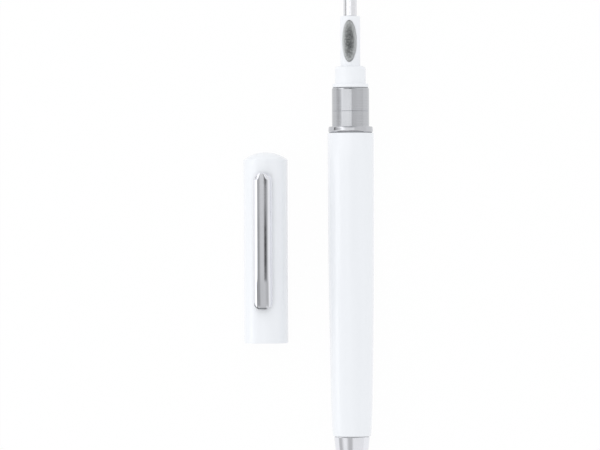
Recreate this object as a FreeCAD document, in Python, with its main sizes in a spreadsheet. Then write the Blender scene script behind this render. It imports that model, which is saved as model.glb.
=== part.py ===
import FreeCAD, Part
import os
import Sketcher

# Cleaning pen for earphones, with its cap taken off and laid beside it, in millimetres.
# The pen lies along +Y with its metal nib forward. The cap lies parallel to it on the -X side, with its
# closed end forward and its clip on top. Both rest on z = 0, and the origin is under the pair's middle.
# Each sub-part is modelled about its own axis, local Y: the pen's parts measure forward from the barrel's
# front face, and the cap's parts measure forward from the cap's mouth.

SIZES = [
    # Where the two halves lie
    ("axis_spacing", 22.4, "pen axis to cap axis"),
    ("cap_setback", 54.7, "barrel's front face back to the cap's mouth"),
    # Barrel: a lacquered metal tube, straight in front and drawn in towards the tail
    ("barrel_length", 78.9, "front face to tail face"),
    ("barrel_diameter", 12.0, "outside, over the straight front"),
    ("barrel_straight", 12.0, "length of the straight front"),
    ("barrel_neck_inset", 0.6, "how far the outside has come in where the taper tightens"),
    ("barrel_tail_inset", 1.05, "how far the outside has come in at the tail face"),
    ("barrel_tail_length", 9.5, "length of the tighter taper"),
    ("barrel_wall", 0.6, "wall at the front"),
    ("barrel_tail_wall", 0.5, "wall at the tail face"),
    ("barrel_edge_radius", 0.3, "rounding of the front edge"),
    # Moulded bush in the barrel's mouth, which takes the tool holder's spigot
    ("bush_length", 14.0, "depth of the bush in the barrel"),
    ("press_clearance", 0.02, "radial room of a pushed-in piece"),
    # Trim ring, and the collar that the cap pushes on to
    ("ring_diameter", 11.6, "outside of the trim ring"),
    ("ring_thickness", 1.64, "along the pen"),
    ("ring_front_radius", 0.3, "rounding of the ring's rim at the collar"),
    ("ring_back_radius", 0.72, "rounding of the ring's rim at the barrel"),
    ("collar_diameter", 9.7, "outside of the collar"),
    ("collar_length", 10.2, "ring to tool holder"),
    ("collar_wall", 1.0, "wall of the collar"),
    ("collar_edge_radius", 0.55, "rounding of the collar's front edge"),
    ("snap_height", 4.0, "collar's foot to its snap groove"),
    ("snap_groove_width", 0.36, "along the collar"),
    ("snap_groove_depth", 0.12, "into the collar"),
    # Tool holder: flange, shoulder and a slim column with an oval window right through
    ("spigot_wall", 1.4, "wall of the hollow spigot"),
    ("flange_inset", 0.17, "collar's outside to the flange's"),
    ("flange_thickness", 0.9, "along the pen"),
    ("shoulder_diameter", 8.0, "shoulder in front of the flange"),
    ("shoulder_length", 4.6, "along the pen"),
    ("shoulder_edge_radius", 0.9, "rounding of the shoulder's front edge"),
    ("column_cheek", 0.7, "column beside the window"),
    ("column_land", 1.02, "column in front of the window and behind it"),
    ("moulded_edge_radius", 0.15, "rounding of the small moulded edges"),
    # Flocked sponge in the window
    ("sponge_length", 10.8, "oval's length"),
    ("sponge_width", 3.64, "oval's width"),
    ("sponge_proud", 0.7, "height above the column"),
    ("sponge_edge_radius", 0.45, "rounding of the sponge's rims"),
    ("window_clearance", 0.08, "room round the sponge"),
    # Metal nib, with a shank that pins the sponge
    ("nib_diameter", 3.5, "straight part of the nib"),
    ("nib_length", 11.0, "column to tip"),
    ("nib_straight", 5.2, "length of the straight part"),
    ("nib_tip_diameter", 1.3, "at the blunt tip"),
    ("nib_tip_radius", 0.55, "rounding of the tip"),
    ("shank_diameter", 1.9, "shank inside the holder"),
    ("shank_anchor", 3.4, "shank's hold in the shoulder"),
    # Metal tail end, pushed into the barrel's tail
    ("tail_inset", 0.27, "barrel's outside to the tail end's, where they meet"),
    ("tail_end_diameter", 6.5, "at the closed end"),
    ("tail_length", 13.0, "barrel's tail face to the closed end"),
    ("tail_end_radius", 2.0, "rounding of the closed end"),
    ("tail_groove", 0.25, "shadow groove at the barrel"),
    ("tail_spigot_length", 7.0, "hold in the barrel"),
    ("tail_bore_diameter", 5.0, "hollow of the tail end"),
    ("tail_floor", 3.0, "closed end behind the hollow"),
    # Cap: a lacquered metal shell over a moulded liner
    ("cap_length", 49.8, "mouth to the top of the dome"),
    ("cap_wall", 0.45, "wall of the shell"),
    ("dome_rise", 1.95, "height of the shallow dome"),
    ("dome_edge_radius", 0.25, "rounding of the dome's edge"),
    ("mouth_edge_radius", 0.12, "rounding of the mouth"),
    ("liner_wall", 0.38, "wall of the liner over the collar"),
    ("liner_recess", 0.25, "liner's mouth behind the shell's"),
    ("liner_chamber_room", 0.4, "radial room over the holder's shoulder"),
    ("liner_collar_room", 0.5, "bore past the holder's flange"),
    ("liner_floor", 0.7, "liner's closed end"),
    ("cap_clearance", 0.05, "radial room of the liner on the collar"),
    ("snap_bead_height", 0.1, "liner's bead that drops into the groove"),
    # Clip, hooked through the shell into a moulded block
    ("clip_length", 35.4, "along the cap"),
    ("clip_width", 4.94, "across the cap"),
    ("clip_drop", 5.46, "top of the dome down to the clip"),
    ("clip_standoff", 0.6, "shell to the arm's underside"),
    ("clip_thickness", 1.95, "thickness of the arm"),
    ("clip_edge_radius", 1.7, "rounding of the clip's upper edges"),
    ("clip_end_radius", 1.9, "corners of the free end"),
    ("clip_tip_radius", 0.5, "rounding over the free end"),
    ("clip_tip_lift", 0.02, "height of that rounding's top over the crown, so that the two cross"),
    ("clip_spare", 2.5, "stock beyond the free end, cropped after rounding"),
    ("clip_bow_length", 8.0, "length of the free end that bends down"),
    ("clip_bow_drop", 0.7, "how far the free end bends down"),
    ("clip_foot_length", 3.6, "root that comes down to the shell"),
    ("clip_pad_length", 2.6, "free end that comes down to the shell"),
    ("clip_gap", 0.25, "room between clip and shell"),
    ("tang_inset", 1.5, "clip's upper end to the tang's middle"),
    ("tang_width", 2.4, "across the cap"),
    ("tang_thickness", 0.9, "along the cap"),
    ("tang_depth", 1.9, "below the shell's outside"),
    ("hook_length", 0.9, "hook beyond the tang"),
    ("hook_height", 0.7, "thickness of the hook"),
    ("tang_clearance", 0.25, "room round tang and hook"),
    ("block_wall", 0.9, "block behind the tang"),
]

doc = FreeCAD.newDocument("CleaningPen")
sheet = doc.addObject("Spreadsheet::Sheet", "Sizes")
for row, (alias, value, meaning) in enumerate(SIZES, start=1):
    sheet.set(f"A{row}", alias)
    sheet.set(f"B{row}", str(value))
    sheet.set(f"C{row}", meaning)
    sheet.setAlias(f"B{row}", alias)
doc.recompute()

# Places along the pen, forward from the barrel's front face
RING_TOP = "Sizes.ring_thickness"
COLLAR_TOP = f"({RING_TOP} + Sizes.collar_length)"
FLANGE_TOP = f"({COLLAR_TOP} + Sizes.flange_thickness)"
SHOULDER_TOP = f"({FLANGE_TOP} + Sizes.shoulder_length)"
HALF_WINDOW = "(Sizes.sponge_length / 2 + Sizes.window_clearance)"
WINDOW_MIDDLE = f"({SHOULDER_TOP} + Sizes.column_land + {HALF_WINDOW})"
COLUMN_TOP = f"({WINDOW_MIDDLE} + {HALF_WINDOW} + Sizes.column_land)"
NIB_TOP = f"({COLUMN_TOP} + Sizes.nib_length)"
SOCKET_FLOOR = f"({SHOULDER_TOP} - Sizes.shank_anchor)"
SNAP_GROOVE = f"({RING_TOP} + Sizes.snap_height)"
BUSH_BACK = "(-Sizes.bush_length)"
TAIL_FACE = "(-Sizes.barrel_length)"
TAIL_SEAT = f"({TAIL_FACE} + Sizes.tail_spigot_length)"
TAIL_END = f"({TAIL_FACE} - Sizes.tail_length)"

# Radii that neighbours on the pen share
BARREL_OUTSIDE = "(Sizes.barrel_diameter / 2)"
BARREL_BORE = f"({BARREL_OUTSIDE} - Sizes.barrel_wall)"
BARREL_TAIL = f"({BARREL_OUTSIDE} - Sizes.barrel_tail_inset)"
TAIL_BORE = f"({BARREL_TAIL} - Sizes.barrel_tail_wall)"
COLLAR_OUTSIDE = "(Sizes.collar_diameter / 2)"
SPIGOT_HOLE = f"({COLLAR_OUTSIDE} - Sizes.collar_wall)"
COLUMN_OUTSIDE = "(Sizes.sponge_width / 2 + Sizes.window_clearance + Sizes.column_cheek)"
SHANK_HOLE = "(Sizes.shank_diameter / 2 + Sizes.press_clearance)"

# Radii of the cap, from the collar outwards
LINER_BORE = f"({COLLAR_OUTSIDE} + Sizes.cap_clearance)"
LINER_OUTSIDE = f"({LINER_BORE} + Sizes.liner_wall)"
SHELL_BORE = f"({LINER_OUTSIDE} + Sizes.press_clearance)"
CAP_OUTSIDE = f"({SHELL_BORE} + Sizes.cap_wall)"

# Places along the cap, forward from its mouth
DOME_EDGE = "(Sizes.cap_length - Sizes.dome_rise)"
CLIP_TOP = "(Sizes.cap_length - Sizes.clip_drop)"
CLIP_END = f"({CLIP_TOP} - Sizes.clip_length)"
TANG_MIDDLE = f"({CLIP_TOP} - Sizes.tang_inset)"
TANG_BACK = f"({TANG_MIDDLE} - Sizes.tang_thickness / 2)"
TANG_FRONT = f"({TANG_MIDDLE} + Sizes.tang_thickness / 2)"
HOOK_FRONT = f"({TANG_FRONT} + Sizes.hook_length)"
BLOCK_BACK = f"({TANG_BACK} - Sizes.tang_clearance - Sizes.block_wall)"
BLOCK_FRONT = f"({DOME_EDGE} - Sizes.cap_wall)"
LINER_STEP = "(Sizes.collar_length + Sizes.flange_thickness + Sizes.liner_collar_room)"

# Heights of the clip above the cap's axis
ARM_UNDERSIDE = f"({CAP_OUTSIDE} + Sizes.clip_standoff)"
ARM_CROWN = f"({ARM_UNDERSIDE} + Sizes.clip_thickness)"
TANG_BOTTOM = f"({CAP_OUTSIDE} - Sizes.tang_depth)"
POCKET_FLOOR = f"({TANG_BOTTOM} - Sizes.tang_clearance)"
HALF_SLOT = "(Sizes.tang_width / 2 + Sizes.tang_clearance)"

# Places of the two halves on the table
FRONT_FACE_Y = f"((Sizes.barrel_length + Sizes.tail_length - {NIB_TOP}) / 2)"
PEN_X = f"((Sizes.axis_spacing + {CAP_OUTSIDE} - {BARREL_OUTSIDE}) / 2)"
PEN_PLACE = (PEN_X, FRONT_FACE_Y, BARREL_OUTSIDE)
CAP_PLACE = (f"{PEN_X} - Sizes.axis_spacing", f"{FRONT_FACE_Y} - Sizes.cap_setback", CAP_OUTSIDE)

# Sketch words: a coordinate on an axis, and how a sketch numbers its own axes and the points of an edge
ON_AXIS = "0"
SKETCH_AXIS = {name: -number for number, name in enumerate(("x", "y"), 1)}
POINT = {name: number for number, name in enumerate(("edge", "start", "end", "centre"))}
SKETCH_ORIGIN = (SKETCH_AXIS["x"], POINT["start"])
# First guesses at how far an arc stands off its chord, as shares of the chord, outwards
SHALLOW, DOMED, QUARTER_ROUND = 0.02, 0.1, 0.2

FULL_TURN = 360
TAPER_CONES, TAIL_CONES = 10, 6
NEAR = 1e-4
ROUND_LIMIT = 0.9


def value_of(expression):
    """The expression's number with the sheet as it stands."""
    return float(sheet.evalExpression(expression))


def new_body(label, place):
    """A body of the pen or the cap, laid on the table with its axis along Y."""
    body = doc.addObject("PartDesign::Body", label)
    body.Label = label
    for axis, expression in zip("xyz", place):
        body.setExpression(f"Placement.Base.{axis}", expression)
    return body


def new_sketch(body, name, plane_role, height=None):
    """A sketch on one of the body's origin planes, or at a height above it."""
    sketch = body.newObject("Sketcher::SketchObject", name)
    plane = next(item for item in body.Origin.OriginFeatures if item.Role == plane_role)
    sketch.AttachmentSupport = [(plane, "")]
    sketch.MapMode = "FlatFace"
    if height:
        sketch.setExpression("AttachmentOffset.Base.z", height)
    return sketch


def pin_point(sketch, edge, end, name, place):
    """Ties one point of a sketch to an expression for each of its coordinates."""
    for kind, expression, zero_axis in (
        ("DistanceX", place[0], SKETCH_AXIS["y"]),
        ("DistanceY", place[1], SKETCH_AXIS["x"]),
    ):
        if expression == ON_AXIS:
            sketch.addConstraint(Sketcher.Constraint("PointOnObject", edge, end, zero_axis))
            continue
        measure = Sketcher.Constraint(kind, *SKETCH_ORIGIN, edge, end, value_of(expression))
        number = sketch.addConstraint(measure)
        sketch.renameConstraint(number, f"{name}_{kind}")
        sketch.setExpression(f"Constraints.{name}_{kind}", expression)


def arc_between(first, last, bulge):
    """A first guess at an arc, drawn anticlockwise, and whether it then runs from first to last."""
    chord = last - first
    outwards = FreeCAD.Vector(chord.y, -chord.x, 0)
    guess = Part.Arc(first, (first + last) / 2 + outwards * bulge, last).toShape().Curve
    circle = Part.Circle(guess.Center, FreeCAD.Vector(0, 0, 1), guess.Radius)
    forward = guess.Axis.z > 0
    begin, finish = (first, last) if forward else (last, first)
    return Part.ArcOfCircle(circle, circle.parameter(begin), circle.parameter(finish)), forward


def draw_outline(sketch, corners, arcs=None):
    """Closed anticlockwise outline through the corners, each a pair of expressions.

    arcs maps the corner that an arc starts from to the rule that shapes it and to its first bulge.
    The rules are: "from before" runs smoothly on from the edge before, "axis" has its centre on the
    sketch's Y axis, and "level" ends level.
    """
    arcs = arcs or {}
    points = [FreeCAD.Vector(value_of(x), value_of(y), 0) for x, y in corners]
    rules = [arcs[index][0] if index in arcs else "straight" for index in range(len(points))]
    ends = []
    for index, point in enumerate(points):
        following = points[(index + 1) % len(points)]
        edge, forward = Part.LineSegment(point, following), True
        if index in arcs:
            edge, forward = arc_between(point, following, arcs[index][1])
        sketch.addGeometry(edge, False)
        ends.append(("start", "end") if forward else ("end", "start"))
    for index, (_, last_end) in enumerate(ends):
        after = (index + 1) % len(ends)
        kind = "Tangent" if rules[after] == "from before" else "Coincident"
        meeting = (index, POINT[last_end], after, POINT[ends[after][0]])
        sketch.addConstraint(Sketcher.Constraint(kind, *meeting))
    for index, place in enumerate(corners):
        first_end, last_end = ends[index]
        pin_point(sketch, index, POINT[first_end], f"corner{index}", place)
        centre, last = (index, POINT["centre"]), (index, POINT[last_end])
        if rules[index] == "axis":
            sketch.addConstraint(Sketcher.Constraint("PointOnObject", *centre, SKETCH_AXIS["y"]))
        if rules[index] == "level":
            sketch.addConstraint(Sketcher.Constraint("Vertical", *centre, *last))


def draw_circle(sketch, radius):
    """A circle about the sketch's origin."""
    circle = Part.Circle(FreeCAD.Vector(0, 0, 0), FreeCAD.Vector(0, 0, 1), value_of(radius))
    edge = sketch.addGeometry(circle, False)
    sketch.addConstraint(Sketcher.Constraint("Coincident", edge, POINT["centre"], *SKETCH_ORIGIN))
    number = sketch.addConstraint(Sketcher.Constraint("Radius", edge, value_of(radius)))
    sketch.renameConstraint(number, "radius")
    sketch.setExpression("Constraints.radius", radius)


def draw_oval(sketch, middle, half_width, half_length):
    """An ellipse about a point of the sketch's Y axis, with its length along that axis."""
    centre = FreeCAD.Vector(0, value_of(middle), 0)
    far_end = centre + FreeCAD.Vector(0, value_of(half_length), 0)
    side = centre + FreeCAD.Vector(value_of(half_width), 0, 0)
    edge = sketch.addGeometry(Part.Ellipse(far_end, side, centre), False)
    sketch.exposeInternalGeometry(edge)
    long_axis, short_axis = edge + 1, edge + 2
    pin_point(sketch, edge, POINT["centre"], "middle", (ON_AXIS, middle))
    sketch.addConstraint(Sketcher.Constraint("Vertical", long_axis))
    for name, line, half in (("length", long_axis, half_length), ("width", short_axis, half_width)):
        number = sketch.addConstraint(Sketcher.Constraint("Distance", line, 2 * value_of(half)))
        sketch.renameConstraint(number, name)
        sketch.setExpression(f"Constraints.{name}", f"2 * {half}")


def turn(body, corners, arcs=None):
    """A solid of revolution about the body's Y axis, from a half section."""
    sketch = new_sketch(body, f"{body.Label}_section", "XY_Plane")
    draw_outline(sketch, corners, arcs)
    solid = body.newObject("PartDesign::Revolution", f"{body.Label}_turned")
    solid.Profile = sketch
    solid.ReferenceAxis = (sketch, ["V_Axis"])
    solid.Angle = FULL_TURN
    doc.recompute()
    return solid


def pad(body, sketch, length, both_ways=False):
    """A pad of the sketch, upwards or half on each side of its plane."""
    block = body.newObject("PartDesign::Pad", f"{sketch.Label}_pad")
    block.Profile = sketch
    if both_ways:
        block.SideType = "Symmetric"
    block.setExpression("Length", length)
    doc.recompute()
    return block


def cut_through(body, sketch, upwards=False):
    """A pocket right through, on both sides of the sketch or only upwards."""
    before = body.Shape.Volume
    pocket = body.newObject("PartDesign::Pocket", f"{sketch.Label}_cut")
    pocket.Profile = sketch
    pocket.Type = "ThroughAll"
    if upwards:
        pocket.Reversed = True
    else:
        pocket.SideType = "Symmetric"
    doc.recompute()
    if body.Shape.Volume > before - NEAR:
        raise RuntimeError(f"{pocket.Label} cuts nothing")
    return pocket


def round_edges(body, base, edges, radius, wall):
    """A fillet on the named edges, no larger than the wall that it is on allows."""
    if not edges:
        raise RuntimeError(f"{base.Label} has no such edge")
    fillet = body.newObject("PartDesign::Fillet", f"{base.Label}_round")
    fillet.Base = (base, edges)
    fillet.setExpression("Radius", f"min({radius}; {ROUND_LIMIT} * {wall})")
    doc.recompute()
    return fillet


def rims(feature, radius, place):
    """Names of the round edges about the Y axis with that radius at that place along it."""
    found = []
    for number, edge in enumerate(feature.Shape.Edges, start=1):
        if edge.Degenerated or not isinstance(edge.Curve, Part.Circle):
            continue
        same_radius = abs(edge.Curve.Radius - value_of(radius)) < NEAR
        same_place = abs(edge.Curve.Center.y - value_of(place)) < NEAR
        if same_radius and same_place:
            found.append(f"Edge{number}")
    return found


def border_of(feature, is_wanted):
    """Names of the edges round the wanted faces, leaving out the edges that two of those faces share."""
    wanted = [face for face in feature.Shape.Faces if is_wanted(face)]
    found = []
    for number, edge in enumerate(feature.Shape.Edges, start=1):
        sharing = [face for face in wanted if any(edge.isSame(other) for other in face.Edges)]
        if len(sharing) == 1:
            found.append(f"Edge{number}")
    return found


def barrel_taper():
    """Corners of the barrel's outside from the tail face forward to the straight front.

    Both runs are parabolas that meet smoothly at the neck, drawn as slim cones.
    """
    run = "(Sizes.barrel_length - Sizes.barrel_tail_length - Sizes.barrel_straight)"
    neck_drop = f"(2 * Sizes.barrel_neck_inset * Sizes.barrel_tail_length / {run})"
    tail_rest = f"(Sizes.barrel_tail_inset - Sizes.barrel_neck_inset - {neck_drop})"
    neck = f"({BARREL_OUTSIDE} - Sizes.barrel_neck_inset)"
    neck_place = f"({TAIL_FACE} + Sizes.barrel_tail_length)"
    corners = []
    for step in range(TAIL_CONES, 0, -1):
        share = step / TAIL_CONES
        radius = f"{neck} - {neck_drop} * {share} - {tail_rest} * {share} ^ 2"
        corners.append((radius, f"{neck_place} - Sizes.barrel_tail_length * {share}"))
    for step in range(TAPER_CONES, 0, -1):
        share = step / TAPER_CONES
        radius = f"{BARREL_OUTSIDE} - Sizes.barrel_neck_inset * {share} ^ 2"
        corners.append((radius, f"-Sizes.barrel_straight - {run} * {share}"))
    return corners


def make_barrel():
    body = new_body("barrel", PEN_PLACE)
    section = [
        (BARREL_BORE, ON_AXIS),
        (BARREL_BORE, BUSH_BACK),
        (TAIL_BORE, TAIL_SEAT),
        (TAIL_BORE, TAIL_FACE),
        *barrel_taper(),
        (BARREL_OUTSIDE, "-Sizes.barrel_straight"),
        (BARREL_OUTSIDE, ON_AXIS),
    ]
    tube = turn(body, section)
    front_rim = rims(tube, BARREL_OUTSIDE, ON_AXIS)
    round_edges(body, tube, front_rim, "Sizes.barrel_edge_radius", "Sizes.barrel_wall")
    return body


def make_barrel_bush():
    body = new_body("barrel_bush", PEN_PLACE)
    outside = f"{BARREL_BORE} - Sizes.press_clearance"
    turn(body, [(SPIGOT_HOLE, BUSH_BACK), (outside, BUSH_BACK), (outside, ON_AXIS), (SPIGOT_HOLE, ON_AXIS)])
    return body


def make_trim_ring():
    body = new_body("trim_ring", PEN_PLACE)
    outside = "Sizes.ring_diameter / 2"
    section = [(SPIGOT_HOLE, ON_AXIS), (outside, ON_AXIS), (outside, RING_TOP), (SPIGOT_HOLE, RING_TOP)]
    ring = turn(body, section)
    half_ring = "(Sizes.ring_thickness / 2)"
    eased = round_edges(body, ring, rims(ring, outside, RING_TOP), "Sizes.ring_front_radius", half_ring)
    round_edges(body, eased, rims(eased, outside, ON_AXIS), "Sizes.ring_back_radius", half_ring)
    return body


def make_collar():
    body = new_body("collar", PEN_PLACE)
    groove_floor = f"{COLLAR_OUTSIDE} - Sizes.snap_groove_depth"
    half_groove = "Sizes.snap_groove_width / 2"
    section = [
        (SPIGOT_HOLE, RING_TOP),
        (COLLAR_OUTSIDE, RING_TOP),
        (COLLAR_OUTSIDE, f"{SNAP_GROOVE} - {half_groove}"),
        (groove_floor, SNAP_GROOVE),
        (COLLAR_OUTSIDE, f"{SNAP_GROOVE} + {half_groove}"),
        (COLLAR_OUTSIDE, COLLAR_TOP),
        (SPIGOT_HOLE, COLLAR_TOP),
    ]
    sleeve = turn(body, section)
    front_rim = rims(sleeve, COLLAR_OUTSIDE, COLLAR_TOP)
    round_edges(body, sleeve, front_rim, "Sizes.collar_edge_radius", "Sizes.collar_wall")
    return body


def make_tool_holder():
    body = new_body("tool_holder", PEN_PLACE)
    spigot = f"{SPIGOT_HOLE} - Sizes.press_clearance"
    core = f"{spigot} - Sizes.spigot_wall"
    flange = f"{COLLAR_OUTSIDE} - Sizes.flange_inset"
    shoulder = "Sizes.shoulder_diameter / 2"
    section = [
        (core, BUSH_BACK),
        (spigot, BUSH_BACK),
        (spigot, COLLAR_TOP),
        (flange, COLLAR_TOP),
        (flange, FLANGE_TOP),
        (shoulder, FLANGE_TOP),
        (shoulder, SHOULDER_TOP),
        (COLUMN_OUTSIDE, SHOULDER_TOP),
        (COLUMN_OUTSIDE, COLUMN_TOP),
        (SHANK_HOLE, COLUMN_TOP),
        (SHANK_HOLE, SOCKET_FLOOR),
        (ON_AXIS, SOCKET_FLOOR),
        (ON_AXIS, RING_TOP),
        (core, RING_TOP),
    ]
    turned = turn(body, section)
    shoulder_step = f"({shoulder} - {COLUMN_OUTSIDE})"
    shoulder_rim = rims(turned, shoulder, SHOULDER_TOP)
    rounded = round_edges(body, turned, shoulder_rim, "Sizes.shoulder_edge_radius", shoulder_step)
    small_rims = rims(rounded, COLUMN_OUTSIDE, COLUMN_TOP) + rims(rounded, flange, FLANGE_TOP)
    round_edges(body, rounded, small_rims, "Sizes.moulded_edge_radius", "Sizes.column_cheek")
    window = new_sketch(body, "sponge_window", "XY_Plane")
    half_width = "(Sizes.sponge_width / 2 + Sizes.window_clearance)"
    draw_oval(window, WINDOW_MIDDLE, half_width, HALF_WINDOW)
    cut_through(body, window)
    return body


def make_sponge():
    body = new_body("sponge", PEN_PLACE)
    oval = new_sketch(body, "sponge_oval", "XY_Plane")
    half_width, half_length = "(Sizes.sponge_width / 2)", "(Sizes.sponge_length / 2)"
    draw_oval(oval, WINDOW_MIDDLE, half_width, half_length)
    half_height = f"({COLUMN_OUTSIDE} + Sizes.sponge_proud)"
    block = pad(body, oval, f"2 * {half_height}", both_ways=True)
    flat_ends = border_of(block, lambda face: isinstance(face.Surface, Part.Plane))
    tightest_curve = f"({half_width} ^ 2 / {half_length})"
    round_edges(body, block, flat_ends, "Sizes.sponge_edge_radius", tightest_curve)
    hole = new_sketch(body, "shank_hole", "XZ_Plane")
    draw_circle(hole, SHANK_HOLE)
    cut_through(body, hole)
    return body


def make_nib():
    body = new_body("nib", PEN_PLACE)
    shank, nib = "Sizes.shank_diameter / 2", "Sizes.nib_diameter / 2"
    tip = "Sizes.nib_tip_diameter / 2"
    section = [
        (ON_AXIS, SOCKET_FLOOR),
        (shank, SOCKET_FLOOR),
        (shank, COLUMN_TOP),
        (nib, COLUMN_TOP),
        (nib, f"{COLUMN_TOP} + Sizes.nib_straight"),
        (tip, NIB_TOP),
        (ON_AXIS, NIB_TOP),
    ]
    pin = turn(body, section)
    round_edges(body, pin, rims(pin, tip, NIB_TOP), "Sizes.nib_tip_radius", tip)
    return body


def make_tail_end():
    body = new_body("tail_end", PEN_PLACE)
    spigot = f"{TAIL_BORE} - Sizes.press_clearance"
    base, closed_end = f"{BARREL_TAIL} - Sizes.tail_inset", "Sizes.tail_end_diameter / 2"
    base_place = f"{TAIL_FACE} - Sizes.tail_groove"
    hollow, hollow_floor = "Sizes.tail_bore_diameter / 2", f"{TAIL_END} + Sizes.tail_floor"
    section = [
        (ON_AXIS, TAIL_END),
        (closed_end, TAIL_END),
        (base, base_place),
        (spigot, base_place),
        (spigot, TAIL_SEAT),
        (hollow, TAIL_SEAT),
        (hollow, hollow_floor),
        (ON_AXIS, hollow_floor),
    ]
    cone = turn(body, section)
    round_edges(body, cone, rims(cone, closed_end, TAIL_END), "Sizes.tail_end_radius", closed_end)
    return body


def make_cap_shell():
    body = new_body("cap_shell", CAP_PLACE)
    section = [
        (SHELL_BORE, ON_AXIS),
        (CAP_OUTSIDE, ON_AXIS),
        (CAP_OUTSIDE, DOME_EDGE),
        (ON_AXIS, "Sizes.cap_length"),
        (ON_AXIS, "Sizes.cap_length - Sizes.cap_wall"),
        (SHELL_BORE, BLOCK_FRONT),
    ]
    cup = turn(body, section, {2: ("axis", DOMED), 4: ("axis", -DOMED)})
    dome_rim = rims(cup, CAP_OUTSIDE, DOME_EDGE)
    rounded = round_edges(body, cup, dome_rim, "Sizes.dome_edge_radius", "Sizes.cap_wall")
    mouth_rim = rims(rounded, CAP_OUTSIDE, ON_AXIS)
    round_edges(body, rounded, mouth_rim, "Sizes.mouth_edge_radius", "Sizes.cap_wall")
    slot = new_sketch(body, "tang_slot", "XY_Plane")
    back, front = f"{TANG_BACK} - Sizes.tang_clearance", f"{TANG_FRONT} + Sizes.tang_clearance"
    corners = [(f"-{HALF_SLOT}", back), (HALF_SLOT, back), (HALF_SLOT, front), (f"-{HALF_SLOT}", front)]
    draw_outline(slot, corners)
    cut_through(body, slot, upwards=True)
    return body


def make_cap_liner():
    body = new_body("cap_liner", CAP_PLACE)
    chamber = "Sizes.shoulder_diameter / 2 + Sizes.liner_chamber_room"
    inner_floor = f"{BLOCK_BACK} - Sizes.liner_floor"
    half_bead = "Sizes.snap_groove_width / 2"
    section = [
        (LINER_BORE, "Sizes.liner_recess"),
        (LINER_OUTSIDE, "Sizes.liner_recess"),
        (LINER_OUTSIDE, BLOCK_BACK),
        (ON_AXIS, BLOCK_BACK),
        (ON_AXIS, inner_floor),
        (chamber, inner_floor),
        (chamber, LINER_STEP),
        (LINER_BORE, LINER_STEP),
        (LINER_BORE, f"Sizes.snap_height + {half_bead}"),
        (f"{LINER_BORE} - Sizes.snap_bead_height", "Sizes.snap_height"),
        (LINER_BORE, f"Sizes.snap_height - {half_bead}"),
    ]
    turn(body, section)
    return body


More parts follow.
